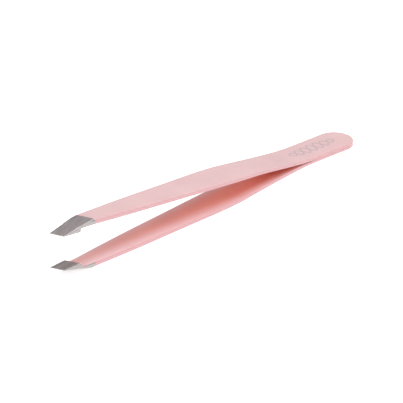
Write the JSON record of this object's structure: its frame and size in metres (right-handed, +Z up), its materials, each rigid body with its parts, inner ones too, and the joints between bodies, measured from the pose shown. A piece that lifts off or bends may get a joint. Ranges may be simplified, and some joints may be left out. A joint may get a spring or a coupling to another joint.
{
  "type": "slant tweezers",
  "caption": "Slant-tip tweezers: lacquered spring-steel leaves welded at a rounded head, with bare ground tips whose pads meet when the arms are squeezed.",
  "frame": {"origin": "bottom centre of the bounding box, with the tweezers open and lying on the lower arm's outer grip face", "axes": "+X from the rounded head towards the tips, +Y across the leaves, +Z up from the surface they lie on"},
  "size_m": [0.095, 0.0094, 0.0117],
  "materials": {
    "pink_lacquer": "satin pink lacquer on steel",
    "ground_steel": "finely ground bare steel"
  },
  "bodies": {
    "head": {"upper_head": "pink_lacquer", "lower_head": "pink_lacquer", "rear_weld": "ground_steel", "front_weld": "ground_steel"},
    "upper_arm": {"upper_arm": "pink_lacquer", "upper_tip": "ground_steel"},
    "lower_arm": {"lower_arm": "pink_lacquer", "lower_tip": "ground_steel"}
  },
  "joints": [
    {"name": "upper_arm_flex", "type": "hinge", "parent": "head", "child": "upper_arm", "pos_m": [-0.01866, 0, 0.00387], "axis": [0, 1, 0], "range_deg": [0, 3.47], "stiffness_Nm_per_rad": 1.3},
    {"name": "lower_arm_flex", "type": "hinge", "parent": "head", "child": "lower_arm", "pos_m": [-0.0185, 0, 0.0011], "axis": [0, -1, 0], "range_deg": [0, 3.47], "stiffness_Nm_per_rad": 1.3}
  ],
  "couplings": [
    {"joint": "lower_arm_flex", "follows": "upper_arm_flex", "ratio": 1}
  ]
}
